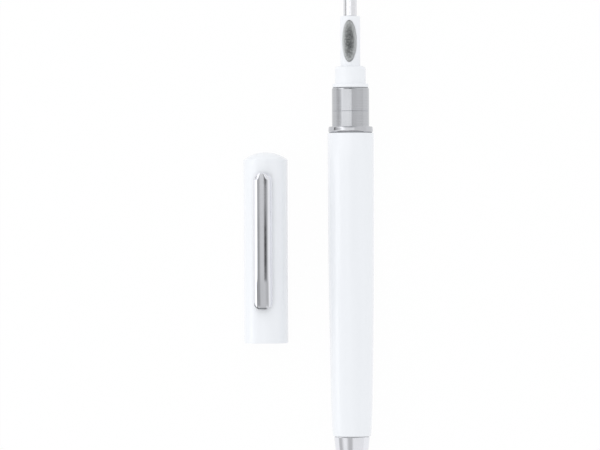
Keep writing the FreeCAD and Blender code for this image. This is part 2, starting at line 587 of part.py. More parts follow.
def make_clip():
    body = new_body("clip", CAP_PLACE)
    half_width = "(Sizes.clip_width / 2)"
    beside, above = f"({half_width} + Sizes.clip_spare)", f"({ARM_CROWN} + Sizes.clip_spare)"
    stock_back, root_start = f"({CLIP_END} - Sizes.clip_spare)", f"({CLIP_TOP} - {half_width})"
    plan = new_sketch(body, "clip_stock", "XY_Plane")
    stock_corners = [
        (f"-{half_width}", stock_back),
        (half_width, stock_back),
        (half_width, root_start),
        (ON_AXIS, CLIP_TOP),
        (f"-{half_width}", root_start),
    ]
    draw_outline(plan, stock_corners, {2: ("level", QUARTER_ROUND), 3: ("from before", QUARTER_ROUND)})
    pad(body, plan, ARM_CROWN)

    bow = new_sketch(body, "clip_bow", "YZ_Plane")
    bow_run = "(Sizes.clip_bow_length + Sizes.clip_spare)"
    stock_drop = f"Sizes.clip_bow_drop * ({bow_run} / Sizes.clip_bow_length) ^ 2"
    bow_corners = [
        (stock_back, f"{ARM_CROWN} - {stock_drop}"),
        (f"{stock_back} + {bow_run}", ARM_CROWN),
        (stock_back, ARM_CROWN),
    ]
    draw_outline(bow, bow_corners, {0: ("level", -SHALLOW)})
    cut_through(body, bow)

    saddle = new_sketch(body, "clip_saddle", "XZ_Plane")
    draw_circle(saddle, f"{CAP_OUTSIDE} + Sizes.clip_gap")
    cut_through(body, saddle)

    gap = new_sketch(body, "clip_arm_gap", "YZ_Plane")
    back, front = f"{CLIP_END} + Sizes.clip_pad_length", f"{CLIP_TOP} - Sizes.clip_foot_length"
    gap_corners = [(back, ON_AXIS), (front, ON_AXIS), (front, ARM_UNDERSIDE), (back, ARM_UNDERSIDE)]
    draw_outline(gap, gap_corners)
    arm = cut_through(body, gap)

    def is_crown(face):
        middle = face.CenterOfMass
        flat = isinstance(face.Surface, Part.Plane) and middle.z > value_of(ARM_CROWN) - NEAR
        bent = isinstance(face.Surface, Part.Cylinder) and abs(face.Surface.Axis.x) > ROUND_LIMIT
        return flat or bent

    def is_kept(name):
        return arm.Shape.getElement(name).BoundBox.YMax > value_of(CLIP_END)

    upper_edges = [name for name in border_of(arm, is_crown) if is_kept(name)]
    round_edges(body, arm, upper_edges, "Sizes.clip_edge_radius", "Sizes.clip_thickness")

    free_end = new_sketch(body, "clip_free_end", "XY_Plane")
    corner_start, behind = f"{CLIP_END} + Sizes.clip_end_radius", f"{stock_back} - Sizes.clip_spare"
    flat_half = f"({half_width} - Sizes.clip_end_radius)"
    free_end_corners = [
        (f"-{beside}", behind),
        (beside, behind),
        (beside, corner_start),
        (half_width, corner_start),
        (flat_half, CLIP_END),
        (f"-{flat_half}", CLIP_END),
        (f"-{half_width}", corner_start),
        (f"-{beside}", corner_start),
    ]
    free_end_arcs = {3: ("level", -QUARTER_ROUND), 5: ("from before", -QUARTER_ROUND)}
    draw_outline(free_end, free_end_corners, free_end_arcs)
    cut_through(body, free_end)

    free_tip = new_sketch(body, "clip_free_tip", "YZ_Plane")
    tip_run = "(Sizes.clip_bow_length - Sizes.clip_tip_radius)"
    tip_drop = f"Sizes.clip_bow_drop * ({tip_run} / Sizes.clip_bow_length) ^ 2"
    free_tip_top = f"({ARM_CROWN} - {tip_drop} + Sizes.clip_tip_lift)"
    free_tip_corners = [
        (CLIP_END, f"{free_tip_top} - Sizes.clip_tip_radius"),
        (f"{CLIP_END} + Sizes.clip_tip_radius", free_tip_top),
        (f"{CLIP_END} + Sizes.clip_tip_radius", above),
        (stock_back, above),
        (stock_back, f"{free_tip_top} - Sizes.clip_tip_radius"),
    ]
    draw_outline(free_tip, free_tip_corners, {0: ("level", -QUARTER_ROUND)})
    cut_through(body, free_tip)

    tang = new_sketch(body, "clip_tang", "YZ_Plane")
    hook_top = f"{TANG_BOTTOM} + Sizes.hook_height"
    tang_corners = [
        (TANG_BACK, TANG_BOTTOM),
        (HOOK_FRONT, TANG_BOTTOM),
        (HOOK_FRONT, hook_top),
        (TANG_FRONT, hook_top),
        (TANG_FRONT, ARM_UNDERSIDE),
        (TANG_BACK, ARM_UNDERSIDE),
    ]
    draw_outline(tang, tang_corners)
    pad(body, tang, "Sizes.tang_width", both_ways=True)
    return body


def make_clip_block():
    body = new_body("clip_block", CAP_PLACE)
    section = [
        (ON_AXIS, BLOCK_BACK),
        (LINER_OUTSIDE, BLOCK_BACK),
        (LINER_OUTSIDE, BLOCK_FRONT),
        (ON_AXIS, BLOCK_FRONT),
    ]
    turn(body, section)
    pocket = new_sketch(body, "tang_pocket", "XY_Plane", POCKET_FLOOR)
    back, front = f"{TANG_BACK} - Sizes.tang_clearance", f"{HOOK_FRONT} + Sizes.tang_clearance"
    corners = [(f"-{HALF_SLOT}", back), (HALF_SLOT, back), (HALF_SLOT, front), (f"-{HALF_SLOT}", front)]
    draw_outline(pocket, corners)
    cut_through(body, pocket, upwards=True)
    return body


SUB_PARTS = [
    make_barrel(),
    make_barrel_bush(),
    make_trim_ring(),
    make_collar(),
    make_tool_holder(),
    make_sponge(),
    make_nib(),
    make_tail_end(),
    make_cap_shell(),
    make_cap_liner(),
    make_clip(),
    make_clip_block(),
]
doc.recompute()

for item in doc.Objects:
    if "Invalid" in item.State or "Error" in item.State:
        raise RuntimeError(f"{item.Label} failed: {item.getStatusString()}")
for body in SUB_PARTS:
    if body.Shape.isNull() or not body.Shape.isValid() or len(body.Shape.Solids) != 1:
        raise RuntimeError(f"{body.Label} is not one valid solid")

os.makedirs("parts", exist_ok=True)
for body in SUB_PARTS:
    body.Shape.exportStep(os.path.join("parts", f"{body.Label}.step"))
    print(f"{body.Label}: {body.Shape.Volume:.1f} cubic mm")
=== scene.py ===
import math

import bmesh
import bpy
from mathutils import Matrix, Vector


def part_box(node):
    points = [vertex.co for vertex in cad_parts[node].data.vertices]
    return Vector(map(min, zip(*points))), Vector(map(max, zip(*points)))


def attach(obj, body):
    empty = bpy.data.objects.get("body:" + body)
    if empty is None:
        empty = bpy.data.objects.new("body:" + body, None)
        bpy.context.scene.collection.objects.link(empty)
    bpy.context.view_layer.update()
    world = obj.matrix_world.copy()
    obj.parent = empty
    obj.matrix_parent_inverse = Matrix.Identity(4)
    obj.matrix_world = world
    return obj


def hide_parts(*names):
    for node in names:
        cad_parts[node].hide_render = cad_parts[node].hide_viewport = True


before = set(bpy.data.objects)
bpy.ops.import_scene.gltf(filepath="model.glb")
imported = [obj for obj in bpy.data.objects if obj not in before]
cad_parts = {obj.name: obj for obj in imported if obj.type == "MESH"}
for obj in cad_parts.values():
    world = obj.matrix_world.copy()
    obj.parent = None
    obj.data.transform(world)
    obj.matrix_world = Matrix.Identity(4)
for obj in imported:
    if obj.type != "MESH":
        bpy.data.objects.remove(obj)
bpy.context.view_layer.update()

# Barrel: a drawn metal tube under gloss white lacquer, straight in front and curving in to
# the tail. It is turned here as one closed wall, in millimetres from its front face, with
# places behind that face negative.
MM = 0.001
barrel_low, barrel_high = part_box("barrel")
barrel_middle = (barrel_low + barrel_high) / 2
pen_axis = Vector((barrel_middle.x, barrel_high.y, barrel_middle.z))
barrel_length, barrel_radius, barrel_straight = 78.9, 6.0, 12.0
neck_radius, neck_place, tail_face_radius = 5.4, -69.4, 4.95
bore_radius, bush_back, tail_bore_radius, tail_seat = 5.4, -14.0, 4.45, -71.9
front_round, front_run, barrel_steps = 0.3, 2.0, 48
long_wall, guard_ring, on_axis = 0.5, 0.06, 1e-6
noise_low, noise_high = 0.3, 0.7


def join_rings(shape, first, second):
    """Faces between two rings of points, either of which may be a single point."""
    sides = max(len(first), len(second))
    if sides == 1:
        return
    for step in range(sides):
        following = (step + 1) % sides
        corners = [first[step % len(first)], first[following % len(first)]]
        corners += [second[following % len(second)], second[step % len(second)]]
        shape.faces.new(list(dict.fromkeys(corners)))


def finish_piece(name, shape, crisp=None):
    """A smooth object from a shape, with edges that turn by more than crisp degrees sharp."""
    bmesh.ops.recalc_face_normals(shape, faces=shape.faces)
    mesh = bpy.data.meshes.new(name)
    shape.to_mesh(mesh)
    shape.free()
    mesh.shade_smooth()
    if crisp is not None:
        mesh.set_sharp_from_angle(angle=math.radians(crisp))
    piece = bpy.data.objects.new(name, mesh)
    bpy.context.scene.collection.objects.link(piece)
    return piece


def turn_on_lathe(name, axis, section, sides=192, crisp=32):
    """A closed solid of revolution about a line along Y, from (radius, place) pairs.

    Long walls get a ring close to each end, so that smooth shading stays true along them.
    """
    guarded = []
    for start, end in zip(section, section[1:] + section[:1]):
        guarded.append(start)
        length = math.dist(start, end)
        if length > long_wall:
            for share in (guard_ring / length, 1 - guard_ring / length):
                guarded.append(tuple(a + (b - a) * share for a, b in zip(start, end)))
    shape = bmesh.new()
    rings = []
    for radius, place in guarded:
        y = axis.y + place * MM
        if radius < on_axis:
            rings.append([shape.verts.new((axis.x, y, axis.z))])
            continue
        ring = []
        for step in range(sides):
            angle = 2 * math.pi * step / sides
            x = axis.x + radius * MM * math.sin(angle)
            z = axis.z + radius * MM * math.cos(angle)
            ring.append(shape.verts.new((x, y, z)))
        rings.append(ring)
    for first, second in zip(rings, rings[1:] + rings[:1]):
        join_rings(shape, first, second)
    return finish_piece(name, shape, crisp)


def rounded(corner, before, after, radius, steps=8):
    """Points of a round of that radius in place of a corner of a section."""
    corner, before, after = Vector(corner), Vector(before), Vector(after)
    way_in, way_out = (before - corner).normalized(), (after - corner).normalized()
    half = math.acos(max(-1, min(1, way_in.dot(way_out)))) / 2
    centre = corner + (way_in + way_out).normalized() * (radius / math.sin(half))
    first = (corner + way_in * radius / math.tan(half) - centre).normalized()
    last = (corner + way_out * radius / math.tan(half) - centre).normalized()
    spokes = [first.slerp(last, step / steps) for step in range(steps + 1)]
    return [tuple(centre + spoke * radius) for spoke in spokes]


def plain_finish(name):
    """A material with its node tree and its shader."""
    finish = bpy.data.materials.new(name)
    finish.use_nodes = True
    return finish, finish.node_tree, finish.node_tree.nodes["Principled BSDF"]


def noise_on_piece(tree, scale, detail=3.0, stretch=(1, 1, 1)):
    """Noise on the piece's own coordinates, in features per metre, stretched along its axes."""
    place = tree.nodes.new("ShaderNodeTexCoord")
    mapping = tree.nodes.new("ShaderNodeMapping")
    mapping.inputs["Scale"].default_value = stretch
    noise = tree.nodes.new("ShaderNodeTexNoise")
    noise.inputs["Scale"].default_value = scale
    noise.inputs["Detail"].default_value = detail
    tree.links.new(place.outputs["Object"], mapping.inputs["Vector"])
    tree.links.new(mapping.outputs["Vector"], noise.inputs["Vector"])
    return noise.outputs["Fac"]


def spread(tree, noise, low, high):
    """The usual range of a noise moved on to the range from low to high."""
    reach = tree.nodes.new("ShaderNodeMapRange")
    reach.inputs["From Min"].default_value = noise_low
    reach.inputs["From Max"].default_value = noise_high
    reach.inputs["To Min"].default_value = low
    reach.inputs["To Max"].default_value = high
    tree.links.new(noise, reach.inputs["Value"])
    return reach.outputs["Result"]


def noisy_finish(name, tints, gloss, relief, noises, metal=0.0):
    """A material whose tint, roughness and relief in metres each follow a noise."""
    finish, tree, shader = plain_finish(name)
    shader.inputs["Metallic"].default_value = metal
    for_tint, for_gloss, for_relief = [noise_on_piece(tree, *noise) for noise in noises]
    ramp = tree.nodes.new("ShaderNodeValToRGB")
    stops = zip(ramp.color_ramp.elements, (noise_low, noise_high), tints)
    for element, position, tint in stops:
        element.position, element.color = position, (*tint, 1)
    tree.links.new(for_tint, ramp.inputs["Fac"])
    tree.links.new(ramp.outputs["Color"], shader.inputs["Base Color"])
    tree.links.new(spread(tree, for_gloss, *gloss), shader.inputs["Roughness"])
    bump = tree.nodes.new("ShaderNodeBump")
    bump.inputs["Strength"].default_value = 1.0
    bump.inputs["Distance"].default_value = relief
    tree.links.new(for_relief, bump.inputs["Height"])
    tree.links.new(bump.outputs["Normal"], shader.inputs["Normal"])
    return finish, tree, shader


white_lacquer, tree, shader = noisy_finish(
    "white_lacquer",
    tints=((0.893, 0.905, 0.925), (0.9, 0.912, 0.932)),
    gloss=(0.29, 0.33),
    relief=0.2e-6,
    noises=((60,), (240,), (700, 1.0)),
)
shader.inputs["Coat Weight"].default_value = 0.6
shader.inputs["Coat Roughness"].default_value = 0.06

long_bow = (neck_place + barrel_straight) ** 2 / (2 * (barrel_radius - neck_radius))
neck_slope = -(neck_place + barrel_straight) / long_bow
tail_run = neck_place + barrel_length
tail_bow = tail_run**2 / (2 * (neck_radius - tail_face_radius - neck_slope * tail_run))


def barrel_outside(place):
    """Radius of the barrel at a place behind its front face."""
    if place > -barrel_straight:
        return barrel_radius
    if place > neck_place:
        return barrel_radius - (place + barrel_straight) ** 2 / (2 * long_bow)
    run = neck_place - place
    return neck_radius - neck_slope * run - run**2 / (2 * tail_bow)


front_corner = (barrel_radius, 0)
barrel_section = [(bore_radius, 0.0), (bore_radius, bush_back)]
barrel_section += [(tail_bore_radius, tail_seat), (tail_bore_radius, -barrel_length)]
for step in range(barrel_steps + 1):
    place = -barrel_length + step * (barrel_length - front_run) / barrel_steps
    barrel_section.append((barrel_outside(place), place))
barrel_section += rounded(
    front_corner, (barrel_radius, -front_run), (bore_radius, 0), front_round
)
barrel = turn_on_lathe("barrel_tube", pen_axis, barrel_section)
barrel.data.materials.append(white_lacquer)
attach(barrel, "pen")
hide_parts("barrel")

# Mouldings inside: the bush in the barrel's mouth, the cap's liner and the block behind the
# cap's dome. They are plain pale plastic with the fine grain of a spark-eroded tool, pushed
# in and mostly out of sight.
inner_moulding, tree, shader = noisy_finish(
    "inner_moulding",
    tints=((0.78, 0.785, 0.79), (0.83, 0.835, 0.84)),
    gloss=(0.45, 0.6),
    relief=4e-6,
    noises=((300,), (1500,), (6000,)),
)


def paint_node(node, finish):
    """A finish for a piece that is shown as its own solid."""
    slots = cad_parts[node].data.materials
    slots.clear()
    slots.append(finish)


for node in ("barrel_bush", "cap_liner", "clip_block"):
    paint_node(node, inner_moulding)

# Trim ring: a narrow ring, very slightly tapered, with a larger round at the barrel and a
# small one at the collar. It is turned, then polished and plated in grey nickel, so it keeps
# only faint turning marks.
ring_radius, ring_thickness, spigot_hole = 5.8, 1.64, 3.85
ring_back_round, ring_front_round, ring_taper = 0.5, 0.3, 0.14
polish_marks = (900, 2.0, (0.3, 3, 0.3))
grey_nickel, tree, shader = noisy_finish(
    "grey_nickel",
    tints=((0.527, 0.535, 0.56), (0.562, 0.57, 0.596)),
    gloss=(0.06, 0.11),
    relief=0.05e-6,
    noises=((150,), (700, 4.0), polish_marks),
    metal=1.0,
)
ring_heel = (ring_radius + ring_taper / 2, 0.0)
ring_rim = (ring_radius - ring_taper / 2, ring_thickness)
ring_section = [(spigot_hole, 0.0)]
ring_section += rounded(ring_heel, (spigot_hole, 0), ring_rim, ring_back_round)
ring_section += rounded(ring_rim, ring_heel, (spigot_hole, ring_thickness), ring_front_round)
ring_section.append((spigot_hole, ring_thickness))
trim_ring = turn_on_lathe("nickel_ring", pen_axis, ring_section)
trim_ring.data.materials.append(grey_nickel)
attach(trim_ring, "pen")
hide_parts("trim_ring")

# Collar: a satin metal sleeve that the cap pushes on to, with a fine snap groove round it.
# It is turned, and its finish keeps the close marks of the tool round it.
collar_radius, collar_foot, collar_top, collar_round = 4.85, 1.64, 11.84, 0.55
groove_place, groove_half, groove_depth, groove_crisp = 5.64, 0.05, 0.05, 25
collar_marks = (500, 4.0, (0.05, 12, 0.05))
satin_collar, tree, shader = noisy_finish(
    "satin_collar",
    tints=((0.472, 0.48, 0.502), (0.51, 0.52, 0.542)),
    gloss=(0.1, 0.15),
    relief=0.1e-6,
    noises=(collar_marks, collar_marks, collar_marks),
    metal=1.0,
)
collar_foot_edge, collar_edge = (collar_radius, collar_foot), (collar_radius, collar_top)
collar_inner_edge = (spigot_hole, collar_top)
collar_section = [(spigot_hole, collar_foot), collar_foot_edge]
collar_section.append((collar_radius, groove_place - groove_half))
collar_section.append((collar_radius - groove_depth, groove_place))
collar_section.append((collar_radius, groove_place + groove_half))
collar_section += rounded(collar_edge, collar_foot_edge, collar_inner_edge, collar_round)
collar_section.append(collar_inner_edge)
collar = turn_on_lathe("satin_sleeve", pen_axis, collar_section, crisp=groove_crisp)
collar.data.materials.append(satin_collar)
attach(collar, "pen")
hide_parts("collar")

# Tool holder: one white plastic moulding, with a flange, a shoulder and a slim column with an
# oval window. Its spigot goes through the collar and the ring into the barrel's bush.
white_moulding, tree, shader = noisy_finish(
    "white_moulding",
    tints=((0.89, 0.9, 0.92), (0.91, 0.918, 0.935)),
    gloss=(0.32, 0.42),
    relief=1.0e-6,
    noises=((120,), (900,), (5000, 2.0)),
)
paint_node("tool_holder", white_moulding)

# Pad: an oval of grey foam in the holder's window, covered on both sides with short upright
# flock. The fibres are scattered over a crowned oval that is sunk by part of their length,
# and their colour is painted paler towards the pad's rim, a painted sheen, a little broader on
# the lit left side.
pad_low, pad_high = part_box("sponge")
pad_middle = (pad_low + pad_high) / 2
pad_half = (pad_high - pad_low) / 2
pad_rings, pad_sides, sunk_share = 14, 96, 0.55
crown_fall, crown_power, rim_fall, rim_power = 0.16, 3, 0.12, 12
fibre_length, fibre_width, fibres_per_square_metre = 0.42 * MM, 0.036 * MM, 120e6
shade_weight, sheen_power, end_share = 0.4, 2.2, 0.8
sheen_shift = Vector((0.1, 0, 0)) * MM
flock_clumps, flock_stops = (2600, 2.0), (0.3, 1.0)
flock_tints = (0.06, 0.066, 0.064, 1), (0.46, 0.475, 0.47, 1)
rim_sheen_tint = (0.92, 0.93, 0.925, 1)


def crowned_oval(name):
    """A closed oval with crowned faces and upright walls, inside the pad by the sunk share."""
    levels = []
    for step in range(pad_rings + 1):
        share = step / pad_rings
        height = 1 - crown_fall * share**crown_power - rim_fall * share**rim_power
        levels.append((math.sin(share * math.pi / 2), height))
    levels += [(size, -height) for size, height in reversed(levels)]
    half = pad_half - Vector((1, 1, 1)) * fibre_length * sunk_share
    shape = bmesh.new()
    loops = []
    for size, height in levels:
        z = pad_middle.z + half.z * height
        if size < on_axis:
            loops.append([shape.verts.new((pad_middle.x, pad_middle.y, z))])
            continue
        loop = []
        for step in range(pad_sides):
            angle = 2 * math.pi * step / pad_sides
            x = pad_middle.x + half.x * size * math.cos(angle)
            y = pad_middle.y + half.y * size * math.sin(angle)
            loop.append(shape.verts.new((x, y, z)))
        loops.append(loop)
    for first, second in zip(loops, loops[1:]):
        join_rings(shape, first, second)
    return finish_piece(name, shape)


def math_node(tree, operation, *values):
    """The result of an arithmetic node, from links and numbers."""
    node = tree.nodes.new("ShaderNodeMath")
    node.operation = operation
    for socket, value in zip(node.inputs, values):
        if isinstance(value, bpy.types.NodeSocket):
            tree.links.new(value, socket)
        else:
            socket.default_value = value
    return node.outputs["Value"]


grey_flock, tree, shader = plain_finish("grey_flock")
fibre_shade = tree.nodes.new("ShaderNodeAttribute")
fibre_shade.attribute_name = "fibre_shade"
clumps = spread(tree, noise_on_piece(tree, *flock_clumps), 0.0, 1.0)
fibre_tone = math_node(tree, "MULTIPLY_ADD", fibre_shade.outputs["Fac"], shade_weight, clumps)
flock_tone = tree.nodes.new("ShaderNodeValToRGB")
for element, position, tint in zip(flock_tone.color_ramp.elements, flock_stops, flock_tints):
    element.position, element.color = position, tint
tree.links.new(fibre_tone, flock_tone.inputs["Fac"])
# Painted sheen: the base colour goes paler towards the rim, about a centre moved a little to the
# right, so the lit left side is palest.
flock_place = tree.nodes.new("ShaderNodeTexCoord")
from_middle = tree.nodes.new("ShaderNodeVectorMath")
from_middle.operation = "SUBTRACT"
from_middle.inputs[1].default_value = pad_middle + sheen_shift
tree.links.new(flock_place.outputs["Object"], from_middle.inputs[0])
as_share = tree.nodes.new("ShaderNodeVectorMath")
as_share.operation = "MULTIPLY"
as_share.inputs[1].default_value = (1 / pad_half.x, end_share / pad_half.y, 0)
tree.links.new(from_middle.outputs["Vector"], as_share.inputs[0])
to_rim = tree.nodes.new("ShaderNodeVectorMath")
to_rim.operation = "LENGTH"
tree.links.new(as_share.outputs["Vector"], to_rim.inputs[0])
sheen_mix = tree.nodes.new("ShaderNodeMix")
sheen_mix.data_type = "RGBA"
painted_sheen_share = math_node(tree, "POWER", to_rim.outputs["Value"], sheen_power)
tree.links.new(painted_sheen_share, sheen_mix.inputs["Factor"])
tree.links.new(flock_tone.outputs["Color"], sheen_mix.inputs["A"])
sheen_mix.inputs["B"].default_value = rim_sheen_tint
tree.links.new(sheen_mix.outputs["Result"], shader.inputs["Base Color"])
shader.inputs["Roughness"].default_value = 0.9
shader.inputs["Sheen Weight"].default_value = 0.6
shader.inputs["Sheen Roughness"].default_value = 0.4

flock = bpy.data.node_groups.new("flock_on_pad", "GeometryNodeTree")
flock.interface.new_socket("Geometry", in_out="INPUT", socket_type="NodeSocketGeometry")
flock_inputs = {}
for label, kind in (
    ("Fibres per Area", "NodeSocketFloat"),
    ("Fibre Length", "NodeSocketFloat"),
    ("Fibre Width", "NodeSocketFloat"),
    ("Lean", "NodeSocketFloat"),
    ("Seed", "NodeSocketInt"),
    ("Finish", "NodeSocketMaterial"),
):
    socket = flock.interface.new_socket(label, in_out="INPUT", socket_type=kind)
    flock_inputs[label] = socket.identifier
flock.interface.new_socket("Geometry", in_out="OUTPUT", socket_type="NodeSocketGeometry")


def flock_node(kind, inputs, **settings):
    """The outputs of a node of the flock tree, from its settings and its links or values."""
    node = flock.nodes.new(kind)
    for name, value in settings.items():
        setattr(node, name, value)
    for name, value in inputs.items():
        if isinstance(value, bpy.types.NodeSocket):
            flock.links.new(value, node.inputs[name])
        else:
            node.inputs[name].default_value = value
    return node.outputs


as_float = 1
given = flock_node("NodeGroupInput", {})
scatter = flock_node(
    "GeometryNodeDistributePointsOnFaces",
    {"Mesh": given["Geometry"], "Density": given["Fibres per Area"], "Seed": given["Seed"]},
    distribute_method="RANDOM",
)
fibre = flock_node(
    "GeometryNodeMeshCone",
    {"Vertices": 3, "Radius Top": 0.35, "Radius Bottom": 1.0, "Depth": 1.0},
    fill_type="NGON",
)
trim = flock_node(
    "FunctionNodeRandomValue",
    {"Min": 0.7, "Max": 1.0, "Seed": given["Seed"]},
    data_type="FLOAT",
)
cut_length = math_node(flock, "MULTIPLY", given["Fibre Length"], trim[as_float])
half_width = math_node(flock, "MULTIPLY", given["Fibre Width"], 0.5)
fibre_size = flock_node(
    "ShaderNodeCombineXYZ", {"X": half_width, "Y": half_width, "Z": cut_length}
)
lean_back = math_node(flock, "MULTIPLY", given["Lean"], -1.0)
lean_low = flock_node("ShaderNodeCombineXYZ", {"X": lean_back, "Y": lean_back})
lean_high = flock_node("ShaderNodeCombineXYZ", {"X": given["Lean"], "Y": given["Lean"]})
lean = flock_node(
    "FunctionNodeRandomValue",
    {"Min": lean_low["Vector"], "Max": lean_high["Vector"], "Seed": given["Seed"]},
    data_type="FLOAT_VECTOR",
)
lean_turn = flock_node("FunctionNodeEulerToRotation", {"Euler": lean["Value"]})
stand = flock_node(
    "FunctionNodeRotateRotation",
    {"Rotation": scatter["Rotation"], "Rotate By": lean_turn["Rotation"]},
    rotation_space="LOCAL",
)
plant = flock_node(
    "GeometryNodeInstanceOnPoints",
    {
        "Points": scatter["Points"],
        "Instance": fibre["Mesh"],
        "Rotation": stand["Rotation"],
        "Scale": fibre_size["Vector"],
    },
)
shade = flock_node("FunctionNodeRandomValue", {"Seed": given["Seed"]}, data_type="FLOAT")
shaded = flock_node(
    "GeometryNodeStoreNamedAttribute",
    {"Geometry": plant["Instances"], "Name": "fibre_shade", "Value": shade[as_float]},
    data_type="FLOAT",
    domain="INSTANCE",
)
foam_and_fibres = flock.nodes.new("GeometryNodeJoinGeometry")
for source in (given["Geometry"], shaded["Geometry"]):
    flock.links.new(source, foam_and_fibres.inputs["Geometry"])
realized = flock_node(
    "GeometryNodeRealizeInstances", {"Geometry": foam_and_fibres.outputs["Geometry"]}
)
painted = flock_node(
    "GeometryNodeSetMaterial", {"Geometry": realized["Geometry"], "Material": given["Finish"]}
)
flock_node("NodeGroupOutput", {"Geometry": painted["Geometry"]})


def applied_mesh(piece):
    """A copy of a piece's mesh with its modifiers applied."""
    evaluated = piece.evaluated_get(bpy.context.evaluated_depsgraph_get())
    return bpy.data.meshes.new_from_object(evaluated)


foam = crowned_oval("foam_oval")
planting = foam.modifiers.new("flock", "NODES")
planting.node_group = flock
for label, value in (
    ("Fibres per Area", fibres_per_square_metre),
    ("Fibre Length", fibre_length),
    ("Fibre Width", fibre_width),
    ("Lean", 0.35),
    ("Seed", 7),
    ("Finish", grey_flock),
):
    planting[flock_inputs[label]] = value
pad = bpy.data.objects.new("flocked_pad", applied_mesh(foam))
bpy.data.objects.remove(foam)
bpy.context.scene.collection.objects.link(pad)
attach(pad, "pen")
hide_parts("sponge")

# Nib: a turned steel pin that picks dirt out of narrow gaps, with a blunt point. Its shank
# runs down through the column and the pad into the holder's shoulder.
nib_radius, shank_radius, tip_radius = 1.75, 0.95, 0.65
socket_floor, column_top, nib_straight, nib_length = 13.94, 30.34, 5.2, 11.0
nib_foot_round, nib_tip_round = 0.12, 0.5
nib_marks = (500, 4.0, (0.05, 10, 0.05))
nib_steel, tree, shader = noisy_finish(
    "nib_steel",
    tints=((0.735, 0.742, 0.768), (0.795, 0.802, 0.828)),
    gloss=(0.1, 0.2),
    relief=0.1e-6,
    noises=(nib_marks, nib_marks, nib_marks),
    metal=1.0,
)
nib_top = column_top + nib_length
nib_seat, nib_foot = (shank_radius, column_top), (nib_radius, column_top)
nib_shoulder, nib_tip = (nib_radius, column_top + nib_straight), (tip_radius, nib_top)
nib_section = [(0.0, socket_floor), (shank_radius, socket_floor), nib_seat]
nib_section += rounded(nib_foot, nib_seat, nib_shoulder, nib_foot_round, steps=4)
nib_section.append(nib_shoulder)
nib_section += rounded(nib_tip, nib_shoulder, (0, nib_top), nib_tip_round)
nib_section.append((0.0, nib_top))
nib = turn_on_lathe("steel_nib", pen_axis, nib_section, sides=96)
nib.data.materials.append(nib_steel)
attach(nib, "pen")
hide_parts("nib")

# Tail end: a hollow chromed cone with a closed, well rounded end. Its spigot is pushed into the
# barrel's tail, and where it shows in the narrow groove between the two it is left dull, with
# painted shade darkening its colour.
tail_base, tail_groove, tail_length, tail_end_radius = 4.68, 0.25, 13.0, 3.25
tail_end_round, tail_base_round, tail_hollow, tail_floor = 2.0, 0.03, 2.5, 3.0
spigot_clearance, spigot_edge = 0.02, 0.03
spigot_dull_and_shade_tint, spigot_roughness = (0.72, 0.73, 0.75), 0.6
tail_tip, tail_step = -barrel_length - tail_length, -barrel_length - tail_groove


def chrome_finish(name):
    """Bright plating over polished metal, with the faintest wander in its gloss."""
    return noisy_finish(
        name,
        tints=((0.795, 0.805, 0.845), (0.83, 0.84, 0.88)),
        gloss=(0.05, 0.1),
        relief=0.05e-6,
        noises=((150,), (700, 4.0), polish_marks),
        metal=1.0,
    )


def place_on_piece(tree):
    """The outputs X, Y and Z of a point on its piece, in metres."""
    place = tree.nodes.new("ShaderNodeTexCoord")
    parts = tree.nodes.new("ShaderNodeSeparateXYZ")
    tree.links.new(place.outputs["Object"], parts.inputs["Vector"])
    return parts.outputs


def ramp_up(tree, value, start, end):
    """A share that is nought up to the start and one past the end, or the other way round."""
    reach = tree.nodes.new("ShaderNodeMapRange")
    reach.inputs["From Min"].default_value = start
    reach.inputs["From Max"].default_value = end
    tree.links.new(value, reach.inputs["Value"])
    return reach.outputs["Result"]


def blend_in(tree, shader, label, share, value):
    """A shader's input as it was, giving way to a value as the share goes to one."""
    socket = shader.inputs[label]
    mix = tree.nodes.new("ShaderNodeMix")
    if socket.type == "RGBA":
        mix.data_type, value = "RGBA", (*value, 1)
    tree.links.new(share, mix.inputs["Factor"])
    tree.links.new(socket.links[0].from_socket, mix.inputs["A"])
    mix.inputs["B"].default_value = value
    tree.links.new(mix.outputs["Result"], socket)


bright_chrome, tree, shader = chrome_finish("bright_chrome")
spigot_start = pen_axis.y + tail_step * MM
along_tail = place_on_piece(tree)["Y"]
on_spigot = ramp_up(tree, along_tail, spigot_start, spigot_start + spigot_edge * MM)
# Painted shade: the spigot's base colour is darkened where it shows in the groove; its higher
# roughness dulls it.
blend_in(tree, shader, "Base Color", on_spigot, spigot_dull_and_shade_tint)
blend_in(tree, shader, "Roughness", on_spigot, spigot_roughness)

base_corner, end_corner = (tail_base, tail_step), (tail_end_radius, tail_tip)
spigot_radius, hollow_end = tail_bore_radius - spigot_clearance, tail_tip + tail_floor
tail_section = [(0.0, tail_tip)]
tail_section += rounded(end_corner, (0, tail_tip), base_corner, tail_end_round, steps=14)
tail_section += rounded(
    base_corner, end_corner, (tail_bore_radius, tail_step), tail_base_round, steps=4
)
tail_section += [(spigot_radius, tail_step), (spigot_radius, tail_seat)]
tail_section += [(tail_hollow, tail_seat), (tail_hollow, hollow_end), (0.0, hollow_end)]
tail = turn_on_lathe("chrome_tail", pen_axis, tail_section)
tail.data.materials.append(bright_chrome)
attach(tail, "pen")
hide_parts("tail_end")

# Cap shell: a drawn metal cup in the barrel's white lacquer, with a shallow dome and a crisp
# edge, in millimetres from its mouth. A slot under the clip's foot lets the clip's tang
# through.
cap_low, cap_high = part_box("cap_shell")
cap_middle = (cap_low + cap_high) / 2
cap_axis = Vector((cap_middle.x, cap_low.y, cap_middle.z))
cap_radius, cap_bore, cap_length, dome_rise, cap_wall = 5.75, 5.3, 49.8, 1.95, 0.45
mouth_round, dome_edge_round, cap_crisp = 0.12, 0.25, 32
slot_half, slot_back, slot_front, slot_bottom, slot_top = 1.45, 42.14, 43.54, 3.5, 7.5
dome_edge = cap_length - dome_rise


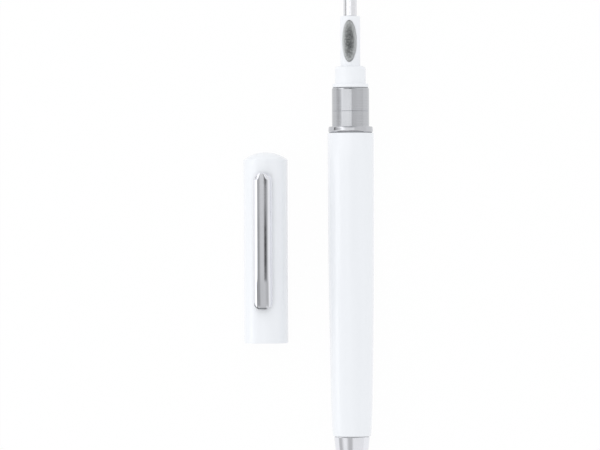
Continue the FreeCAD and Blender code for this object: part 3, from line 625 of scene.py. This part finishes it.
def dome(radius, rise, foot, steps=14):
    """Points of a shallow dome from its rim to its top, on a round about the axis."""
    ball = (radius**2 + rise**2) / (2 * rise)
    reach = math.asin(radius / ball)
    points = []
    for step in range(steps + 1):
        angle = reach * (1 - step / steps)
        points.append((ball * math.sin(angle), foot + rise - ball * (1 - math.cos(angle))))
    return points


def add_box(shape, low, high):
    """A box between two corners, from the middle of the cap's mouth."""
    low, high = Vector(low), Vector(high)
    for corner in bmesh.ops.create_cube(shape, size=1.0)["verts"]:
        corner.co = cap_axis + ((low + high) / 2 + corner.co * (high - low)) * MM


outer_dome = dome(cap_radius, dome_rise, dome_edge)
inner_dome = dome(cap_bore, dome_rise, dome_edge - cap_wall)
mouth_corner, dome_corner = (cap_radius, 0), (cap_radius, dome_edge)
shell_section = [(cap_bore, 0.0)]
shell_section += rounded(mouth_corner, (cap_bore, 0), dome_corner, mouth_round, steps=4)
shell_section += rounded(dome_corner, mouth_corner, outer_dome[1], dome_edge_round, steps=6)
shell_section += outer_dome[2:] + inner_dome[::-1]
shell = turn_on_lathe("cap_cup", cap_axis, shell_section)
slot_shape = bmesh.new()
add_box(
    slot_shape, (-slot_half, slot_back, slot_bottom), (slot_half, slot_front, slot_top)
)
cutter = finish_piece("tang_slot", slot_shape, cap_crisp)
slotting = shell.modifiers.new("tang_slot", "BOOLEAN")
slotting.operation, slotting.solver, slotting.object = "DIFFERENCE", "EXACT", cutter
slotted = applied_mesh(shell)
shell.modifiers.clear()
bpy.data.objects.remove(cutter)
shell.data = slotted
shell.data.set_sharp_from_angle(angle=math.radians(cap_crisp))
shell.data.materials.append(white_lacquer)
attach(shell, "cap")
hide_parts("cap_shell")

# Clip: a bright chromed spring with a rounded crown that narrows to its root, fixed at its
# foot by a hooked tang. Its free end bows down to the cap and is cropped, and its rim there
# has painted shade in its colour, up to one corner that is left unshaded.
clip_low, clip_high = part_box("clip")
clip_middle = (clip_low.x + clip_high.x) / 2
clip_half, clip_root, clip_end, clip_round = 2.47, 44.34, 8.94, 1.7
crown_height, crown_bow, arm_underside, saddle_radius = 8.3, 10.0, 6.35, 6.0
bow_start, bow_radius, corner_radius = 16.94, 46.31, 1.9
tip_round, tip_top, pad_front, foot_back = 0.5, 7.705, 11.54, 40.74
root_start, root_round, root_crown = clip_root - corner_radius, 0.3, 0.37
crown_flat, corner_flat = clip_half - clip_round, clip_half - corner_radius
tang_half, tang_back, tang_front, tang_bottom, tang_top = 1.2, 42.39, 43.29, 3.85, 6.5
hook_front, hook_top, hook_overlap = 44.19, 4.55, 0.1
trim_step, widest_crown, merge_distance, clip_crisp = 0.002, 0.95, 1e-7, 30
crown_steps, side_steps, under_steps = 4, 24, 4
end_steps, bow_steps, root_steps = 32, 12, 64
rim_width, rim_fade, unshaded_corner, rim_shade_tint = 0.5, 0.35, 0.9, (0.2, 0.205, 0.215)

clip_chrome, tree, shader = chrome_finish("clip_chrome")
# Painted shade: the base colour is darkened along the rim of the free end, fading out towards
# one corner.
on_clip = place_on_piece(tree)
from_line = math_node(tree, "ABSOLUTE", math_node(tree, "SUBTRACT", on_clip["X"], clip_middle))
past_flat = math_node(tree, "SUBTRACT", from_line, corner_flat * MM)
past_start = math_node(tree, "SUBTRACT", clip_low.y + corner_radius * MM, on_clip["Y"])
squares = [
    math_node(tree, "POWER", math_node(tree, "MAXIMUM", past, 0.0), 2.0)
    for past in (past_flat, past_start)
]
from_corner = math_node(tree, "SQRT", math_node(tree, "ADD", *squares))
rim_inside = (corner_radius - rim_width) * MM
unshaded_start = clip_middle + unshaded_corner * MM
at_rim = ramp_up(tree, from_corner, rim_inside, rim_inside + rim_fade * MM)
at_end = ramp_up(tree, past_start, 0.0, corner_radius / 2 * MM)
off_unshaded_corner = ramp_up(tree, on_clip["X"], unshaded_start + rim_width * MM, unshaded_start)
painted_shade_share = math_node(tree, "MULTIPLY", math_node(tree, "MULTIPLY", at_rim, at_end), off_unshaded_corner)
blend_in(tree, shader, "Base Color", painted_shade_share, rim_shade_tint)


def root_widths(y):
    """Half widths of the clip and of its crown, where both narrow to the root's end."""
    along = min(1.0, (y - root_start) / corner_radius)
    half = corner_flat + corner_radius * math.sqrt(1 - along**2)
    return half, crown_flat + (root_crown - crown_flat) * along**2


def over_edge(top, radius, past):
    """Height of a round over an edge, at a distance past the start of the round."""
    return top - radius + math.sqrt(max(0.0, radius**2 - past**2))


def clip_top(x, y):
    """Height of the clip's upper side over the cap's axis."""
    height = crown_height
    if y < bow_start:
        height -= bow_radius - math.sqrt(bow_radius**2 - (bow_start - y) ** 2)
    half, flat = clip_half, crown_flat
    if y > root_start:
        half, flat = root_widths(y)
    bowed = min(abs(x), crown_flat)
    height -= bowed * (abs(x) - bowed / 2) / crown_bow
    if abs(x) > flat:
        side = min(1.0, (abs(x) - flat) / (half - flat))
        height -= clip_round * (1 - math.sqrt(1 - side**2))
    to_root = y - clip_root + root_round
    if to_root > 0:
        height = min(height, over_edge(crown_height, root_round, to_root))
    to_end = clip_end + tip_round - y
    if to_end > 0:
        height = min(height, over_edge(tip_top, tip_round, to_end))
    return height


def clip_underside(x, on_cap):
    """Height of the clip's lower side, on the cap or over the gap under the arm."""
    return math.sqrt(saddle_radius**2 - x**2) if on_cap else arm_underside


def clip_ring(y, half, flat, on_cap):
    """Points round one cross section, from the middle of the crown down both its sides."""
    floor = clip_underside(half, on_cap)
    while clip_top(half, y) < floor:
        half -= trim_step
    reaches = [flat * step / crown_steps for step in range(crown_steps)]
    for step in range(side_steps + 1):
        reaches.append(flat + (half - flat) * math.sin(math.pi / 2 * step / side_steps))
    side = [(x, y, clip_top(x, y)) for x in reaches]
    side += [(half, y, max(floor, side[-1][2] - guard_ring)), (half, y, floor)]
    for step in reversed(range(under_steps)):
        x = half * step / under_steps
        side.append((x, y, clip_underside(x, on_cap)))
    return side + [(-x, y, z) for x, y, z in side[-2:0:-1]]


clip_sections = []
for step in range(end_steps + 1):
    angle = math.pi / 2 * (1 - step / end_steps)
    y = clip_end + corner_radius * (1 - math.sin(angle))
    half = corner_flat + corner_radius * math.cos(angle)
    clip_sections.append((y, half, min(crown_flat, widest_crown * half), True))
clip_sections.append((pad_front, clip_half, crown_flat, True))
for step in range(bow_steps + 1):
    y = pad_front + (bow_start - pad_front) * step / bow_steps
    clip_sections.append((y, clip_half, crown_flat, False))
clip_sections.append((foot_back, clip_half, crown_flat, False))
clip_sections.append((foot_back, clip_half, crown_flat, True))
for step in range(root_steps + 1):
    y = root_start + corner_radius * math.sin(math.pi / 2 * step / root_steps)
    clip_sections.append((y, *root_widths(y), True))

clip_shape = bmesh.new()
clip_rings = []
for section in clip_sections:
    points = [cap_axis + Vector(point) * MM for point in clip_ring(*section)]
    clip_rings.append([clip_shape.verts.new(point) for point in points])
for first, second in zip(clip_rings, clip_rings[1:]):
    join_rings(clip_shape, first, second)
clip_shape.faces.new(clip_rings[0])
clip_shape.faces.new(clip_rings[-1])
bmesh.ops.remove_doubles(clip_shape, verts=clip_shape.verts, dist=merge_distance)
add_box(clip_shape, (-tang_half, tang_back, tang_bottom), (tang_half, tang_front, tang_top))
hook_back = tang_front - hook_overlap
add_box(clip_shape, (-tang_half, hook_back, tang_bottom), (tang_half, hook_front, hook_top))
clip = finish_piece("chrome_clip", clip_shape, clip_crisp)
clip.data.materials.append(clip_chrome)
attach(clip, "clip")
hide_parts("clip")

# Table: a plain matt white top that the pen and the cap lie on. It glows evenly to the camera
# and in reflections, so the ground stays white, and keeps only the faintest shadows.
table_reach, table_grey, table_glow = 3.0, 0.95, 0.97
table_mesh = bpy.data.meshes.new("table_top")
corner_signs = ((-1, -1), (1, -1), (1, 1), (-1, 1))
table_corners = [(table_reach * x, table_reach * y, 0) for x, y in corner_signs]
table_mesh.from_pydata(table_corners, [], [(0, 1, 2, 3)])
table = bpy.data.objects.new("table_top", table_mesh)
bpy.context.scene.collection.objects.link(table)
table_white, tree, shader = plain_finish("table_white")
shader.inputs["Base Color"].default_value = (table_grey, table_grey, table_grey, 1)
shader.inputs["Roughness"].default_value = 1.0
shader.inputs["Specular IOR Level"].default_value = 0.0
rays = tree.nodes.new("ShaderNodeLightPath").outputs
seen = math_node(tree, "MAXIMUM", rays["Is Camera Ray"], rays["Is Glossy Ray"])
glow = tree.nodes.new("ShaderNodeEmission")
glow.inputs["Color"].default_value = (1, 1, 1, 1)
table_mix = tree.nodes.new("ShaderNodeMixShader")
tree.links.new(math_node(tree, "MULTIPLY", seen, table_glow), table_mix.inputs["Fac"])
tree.links.new(shader.outputs["BSDF"], table_mix.inputs[1])
tree.links.new(glow.outputs["Emission"], table_mix.inputs[2])
tree.links.new(table_mix.outputs["Shader"], tree.nodes["Material Output"].inputs["Surface"])
table_mesh.materials.append(table_white)

# Sky: an even, faintly blue light from all round, a little stronger from ahead of the nib.
# The camera sees plain white in its place.
sky_tint, sky_level, sky_lean = (0.965, 0.98, 1.0, 1), 0.97, (-0.01, 0.08, 0.0)
sky = bpy.data.worlds.new("studio_sky")
bpy.context.scene.world = sky
sky.use_nodes = True
tree = sky.node_tree
plain_sky = tree.nodes["Background"]
plain_sky.inputs["Color"].default_value = sky_tint
sky_place = tree.nodes.new("ShaderNodeTexCoord")
sky_tilt = tree.nodes.new("ShaderNodeVectorMath")
sky_tilt.operation = "DOT_PRODUCT"
sky_tilt.inputs[1].default_value = sky_lean
tree.links.new(sky_place.outputs["Generated"], sky_tilt.inputs[0])
sky_strength = math_node(tree, "ADD", sky_tilt.outputs["Value"], sky_level)
tree.links.new(sky_strength, plain_sky.inputs["Strength"])
white_sky = tree.nodes.new("ShaderNodeBackground")
white_sky.inputs["Color"].default_value = (1, 1, 1, 1)
rays = tree.nodes.new("ShaderNodeLightPath").outputs
sky_mix = tree.nodes.new("ShaderNodeMixShader")
tree.links.new(rays["Is Camera Ray"], sky_mix.inputs["Fac"])
tree.links.new(plain_sky.outputs["Background"], sky_mix.inputs[1])
tree.links.new(white_sky.outputs["Background"], sky_mix.inputs[2])
tree.links.new(sky_mix.outputs["Shader"], tree.nodes["World Output"].inputs["Surface"])

# Light tent: a half-round tunnel of pale and dark panels over the pen, seen in reflections
# only, which draws the streaks on the metal and the lacquer. Its sets of panels follow one
# another along the pen, each over the piece that mirrors it.
tent_radius, tent_half_length, tent_steps = 0.3, 0.5, 48
tent_shape = bmesh.new()
tent_arches = []
for y in (-tent_half_length, tent_half_length):
    arch = []
    for step in range(tent_steps + 1):
        angle = math.pi * (step / tent_steps - 0.5)
        x, z = tent_radius * math.sin(angle), tent_radius * math.cos(angle)
        arch.append(tent_shape.verts.new((x, y, z)))
    tent_arches.append(arch)
near_arch, far_arch = tent_arches
for step in range(tent_steps):
    corners = (near_arch[step], far_arch[step], far_arch[step + 1], near_arch[step + 1])
    tent_shape.faces.new(corners)
tent_mesh = bpy.data.meshes.new("light_tent")
tent_shape.to_mesh(tent_mesh)
tent_shape.free()
tent = bpy.data.objects.new("light_tent", tent_mesh)
bpy.context.scene.collection.objects.link(tent)
tent.visible_camera = tent.visible_diffuse = False
tent.visible_shadow = tent.visible_transmission = False
tent_cloth, tree, shader = plain_finish("tent_cloth")
tree.nodes.remove(shader)
on_tent = place_on_piece(tree)
tent_angle = math_node(tree, "ARCTAN2", on_tent["X"], on_tent["Z"])
tent_down = math_node(tree, "ABSOLUTE", tent_angle)
tent_share = ramp_up(tree, tent_angle, -math.pi / 2, math.pi / 2)


def tent_panels(*stops):
    """Brightness round the tent, from stops of an angle in degrees off the top and a grey."""
    ramp = tree.nodes.new("ShaderNodeValToRGB")
    elements = ramp.color_ramp.elements
    while len(elements) < len(stops):
        elements.new(0.5)
    for element, (angle, grey) in zip(elements, stops):
        element.position = angle / 180 + 0.5
        element.color = (grey, grey, grey, 1)
    tree.links.new(tent_share, ramp.inputs["Fac"])
    return ramp.outputs["Color"]


def panels_ahead(place, behind, ahead, soft, slant=0.0):
    """One set of panels in front of a place along the tent, and another behind it.

    The edge between them is soft by that distance on both sides, and moves forward by the
    slant for each radian down the tent's sides.
    """
    slanted = math_node(tree, "MULTIPLY_ADD", tent_down, -slant, on_tent["Y"])
    blend = tree.nodes.new("ShaderNodeMix")
    blend.data_type = "RGBA"
    tree.links.new(ramp_up(tree, slanted, place - soft, place + soft), blend.inputs["Factor"])
    tree.links.new(behind, blend.inputs["A"])
    tree.links.new(ahead, blend.inputs["B"])
    return blend.outputs["Result"]


far_end = tent_panels((-90, 0.2), (-60, 0.25), (-30, 0.5), (20, 0.5), (45, 0.3), (90, 0.2))
over_tail = tent_panels(
    *((-90, 0.75), (-80, 0.58), (-66, 0.58), (-47, 0.97), (-30, 0.97)),
    *((-12, 0.56), (6, 0.56), (18, 0.92), (90, 0.9)),
)
over_bow = tent_panels(
    *((-90, 1.0), (-85.5, 1.5), (-76, 1.8), (-68.5, 1.8), (-58.5, 0.38), (-18, 0.36)),
    *((-13, 0.6), (-2, 0.62), (20.5, 0.52), (49, 0.5), (64, 0.95), (90, 0.95)),
)
over_cap = tent_panels(
    *((-90, 1.0), (-85.5, 1.5), (-68.5, 1.6), (-63, 1.8), (-53.5, 1.8), (-45, 0.38)),
    *((-18, 0.36), (-13, 0.66), (-4, 0.66), (-1, 0.1), (22.5, 0.05), (28, 0.42)),
    *((41.5, 0.55), (56.5, 0.95), (90, 0.95)),
)
over_foot = tent_panels(
    *((-90, 1.0), (-85.5, 1.5), (-68.5, 1.6), (-63, 1.8), (-53.5, 1.8), (-45, 0.5)),
    *((-18, 0.46), (-13, 0.7), (-4, 0.68), (-1, 0.42), (22.5, 0.36), (28, 0.5)),
    *((41.5, 0.6), (56.5, 0.95), (90, 0.95)),
)
over_nose = tent_panels(
    *((-90, 0.8), (-84, 0.84), (-77, 0.68), (-68, 0.68), (-62, 0.8), (-53, 0.86)),
    *((-47, 1.5), (12, 1.5), (16, 0.92), (90, 0.88)),
)
over_nib = tent_panels(
    *((-90, 0.2), (-84, 0.3), (-76, 0.6), (-64, 0.8), (-52, 0.95), (-36, 1.5)),
    *((22, 1.5), (30, 0.95), (90, 0.9)),
)
over_ring = tent_panels(
    *((-90, 0.95), (-86, 0.6), (-80, 0.15), (-75, 0.3), (-69, 0.85), (-60, 1.3)),
    *((-48, 1.95), (-40, 2.7), (-32, 2.3), (-26, 1.5), (-18, 0.95), (-8, 0.8)),
    *((12, 0.82), (60, 0.87), (90, 0.8)),
)
near_end = tent_panels(
    *((-90, 0.5), (-84, 0.7), (-76, 1.25), (-62, 1.3), (-56, 1.8), (-46, 1.8)),
    *((-37, 0.5), (-16, 0.5), (-11, 0.66), (-4, 0.66), (0, 0.25), (14, 0.2)),
    *((20, 0.45), (34, 0.6), (50, 0.95), (90, 0.95)),
)
tent_colour = panels_ahead(-0.15, far_end, over_tail, soft=0.006)
tent_colour = panels_ahead(-0.122, tent_colour, over_bow, soft=0.006, slant=0.019)
for place, panels, soft in (
    (-0.021, over_cap, 0.009),
    (0.004, over_foot, 0.006),
    (0.0145, over_cap, 0.002),
    (0.025, over_nose, 0.003),
    (0.051, near_end, 0.003),
    (0.06, over_nib, 0.003),
    (0.082, over_ring, 0.003),
    (0.105, near_end, 0.003),
):
    tent_colour = panels_ahead(place, tent_colour, panels, soft)
tent_glow = tree.nodes.new("ShaderNodeEmission")
tree.links.new(tent_colour, tent_glow.inputs["Color"])
tree.links.new(tent_glow.outputs["Emission"], tree.nodes["Material Output"].inputs["Surface"])
tent_mesh.materials.append(tent_cloth)

# Soft box: one long lamp high on the left, lying along the pen, that shades the white pieces
# from left to right. It is not mirrored, as the tent stands for what the metal sees.
box_place, box_width, box_length, box_watts = Vector((-0.5, 0.0, 0.42)), 0.3, 0.6, 0.42


def facing(place, right, up, back):
    """The place and turn of a lamp or a camera that looks away from its back."""
    return Matrix.Translation(place) @ Matrix((right, up, back)).transposed().to_4x4()


lamp = bpy.data.lights.new("left_soft_box", "AREA")
lamp.shape = "RECTANGLE"
lamp.size, lamp.size_y, lamp.energy = box_width, box_length, box_watts
left_box = bpy.data.objects.new("left_soft_box", lamp)
box_back = box_place.normalized()
box_right = Vector((0, 1, 0)).cross(box_back).normalized()
left_box.matrix_world = facing(box_place, box_right, box_back.cross(box_right), box_back)
left_box.visible_glossy = False
bpy.context.scene.collection.objects.link(left_box)

# Camera: a long lens looking down on the table, leaning a little to the pen's side and
# rolled by a hair.
lean_angle, roll_angle, lens_distance = math.radians(6.5), math.radians(0.25), 1.2
view_width, aim_point, sensor_width = 0.1564, Vector((-0.00230, 0.00135, 0.006)), 36
towards = Vector((math.sin(lean_angle), 0, math.cos(lean_angle)))
picture_up = Matrix.Rotation(-roll_angle, 3, towards) @ Vector((0, 1, 0))
lens = bpy.data.cameras.new("camera")
lens.sensor_width = sensor_width
lens.lens = sensor_width * lens_distance / view_width
camera = bpy.data.objects.new("camera", lens)
lens_place = aim_point + towards * lens_distance
camera.matrix_world = facing(lens_place, picture_up.cross(towards), picture_up, towards)
bpy.context.scene.collection.objects.link(camera)
bpy.context.scene.camera = camera
bpy.context.scene.view_settings.view_transform = "Standard"
